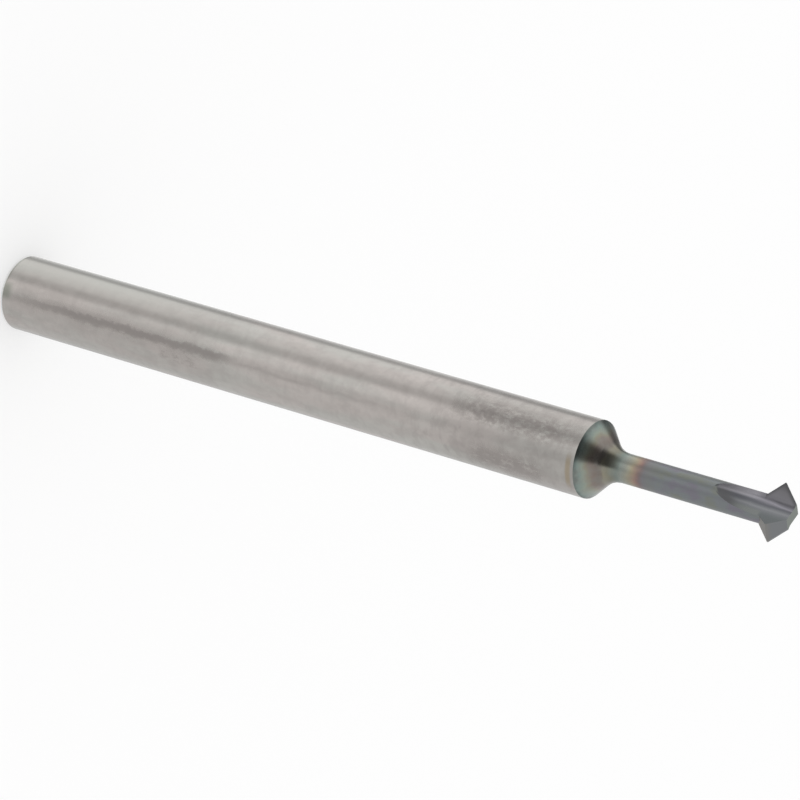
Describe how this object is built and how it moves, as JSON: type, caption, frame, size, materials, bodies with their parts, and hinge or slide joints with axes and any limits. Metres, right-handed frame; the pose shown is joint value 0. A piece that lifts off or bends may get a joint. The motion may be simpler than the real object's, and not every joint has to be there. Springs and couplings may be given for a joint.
{
  "type": "double-angle cutter",
  "caption": "Small solid carbide milling cutter with a round shank, a thin neck and a V-shaped double-angle cutting head for grooves and chamfers.",
  "frame": {"origin": "centre of the flat end of the shank, on the tool's axis", "axes": "+Z along the tool's axis, from the shank towards the cutting head; +X through the edge of one tooth, along its flat front face"},
  "size_m": [0.0032, 0.0032, 0.0381],
  "materials": {
    "carbide": "ground carbide; thin dark coating on the neck and the cutting head"
  },
  "bodies": {
    "root": {"cutter": "carbide"}
  },
  "joints": []
}
